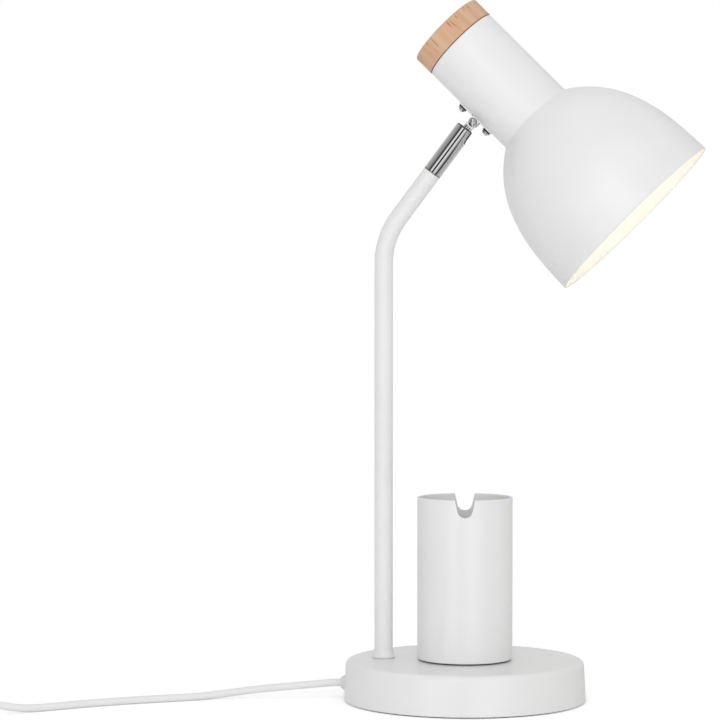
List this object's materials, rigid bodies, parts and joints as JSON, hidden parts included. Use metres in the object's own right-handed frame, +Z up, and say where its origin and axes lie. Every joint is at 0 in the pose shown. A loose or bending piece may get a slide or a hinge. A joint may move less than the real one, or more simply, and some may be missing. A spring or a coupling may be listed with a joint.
{
  "type": "desk lamp",
  "caption": "Desk lamp with a bent pole on a round weighted base, a notched pen cup on the base, a swivelling and tilting bell shade with a wood end cap, and a mains cord.",
  "frame": {"origin": "middle of the base where it stands on the table", "axes": "+Z up, +X towards the side the head leans out to, the cord leaves towards -X"},
  "size_m": [0.5807, 0.2145, 0.462],
  "materials": {
    "white_paint": "semi gloss powder coat",
    "cast_weight": "raw casting",
    "zinc_steel": "zinc plated",
    "foam_pad": "matt foam",
    "chrome": "polished chrome",
    "brass": "turned brass",
    "cord_white": "smooth white sleeve",
    "white_plastic": "smooth moulded",
    "seat_plastic": "natural nylon",
    "black_plastic": "matt",
    "holder_plastic": "heat resistant, moulded",
    "beech": "clear lacquered beech",
    "wire_sleeve": "wire insulation, brown and blue",
    "bulb_glass": "frosted opal",
    "bulb_metal": "plain rolled"
  },
  "bodies": {
    "base": {"base_cover": "white_paint", "base_weight": "cast_weight", "base_plate": "zinc_steel", "base_pad": "foam_pad", "plate_screws": "zinc_steel", "pole": "white_paint", "pole_collar": "white_paint", "pole_nipple": "brass", "pole_washer": "zinc_steel", "pole_nut": "brass", "cord_bushing": "white_plastic", "cord_clamp": "zinc_steel", "clamp_screws": "zinc_steel", "terminal_block": "white_plastic", "terminal_screws": "brass", "inner_lead": "cord_white", "pole_wires": "wire_sleeve", "pen_cup": "white_paint", "cup_spacer": "black_plastic", "cup_screw": "zinc_steel", "cup_nut": "zinc_steel", "swivel_spigot": "brass", "swivel_washer": "zinc_steel", "swivel_nut": "brass", "cord_lead": "cord_white", "switch_lower": "white_plastic", "switch_upper": "white_plastic", "switch_contacts": "brass", "switch_screws": "zinc_steel", "cord_coil": "cord_white", "coil_tie": "white_plastic", "plug_body": "white_plastic", "plug_pins": "chrome"},
    "swivel": {"swivel_sleeve": "chrome", "disc_springs": "zinc_steel", "ball_seat": "seat_plastic"},
    "neck": {"ball_neck": "chrome"},
    "head": {"bracket": "chrome", "bracket_screws": "chrome", "bracket_washers": "zinc_steel", "bracket_nuts": "zinc_steel", "pivot_screw": "chrome", "pivot_washers": "seat_plastic", "pivot_nut": "chrome", "shade": "white_paint", "wood_cap": "beech", "cap_screws": "zinc_steel", "holder_screw": "brass", "holder_nut": "brass", "lampholder": "holder_plastic", "holder_shell": "brass", "holder_contact": "brass", "head_leads": "wire_sleeve", "bulb_glass": "bulb_glass", "bulb_cap": "bulb_metal", "bulb_contact": "zinc_steel"},
    "rocker": {"switch_rocker": "white_plastic"}
  },
  "joints": [
    {"name": "pole_swivel", "type": "hinge", "parent": "base", "child": "swivel", "pos_m": [-0.00256, 0, 0.37492], "axis": [0.6018, 0, 0.7986], "range_deg": [-170, 170]},
    {"name": "neck_tilt", "type": "hinge", "parent": "swivel", "child": "neck", "pos_m": [-0.00256, 0, 0.37492], "axis": [0, 1, 0], "range_deg": [-17, 25]},
    {"name": "head_tilt", "type": "hinge", "parent": "neck", "child": "head", "pos_m": [0.00536, 0, 0.38181], "axis": [0, 1, 0], "range_deg": [-25, 25]},
    {"name": "switch_rock", "type": "hinge", "parent": "base", "child": "rocker", "pos_m": [-0.33203, -0.121, 0.013], "axis": [-0.1736, 0.9848, 0], "range_deg": [-12, 0]}
  ]
}
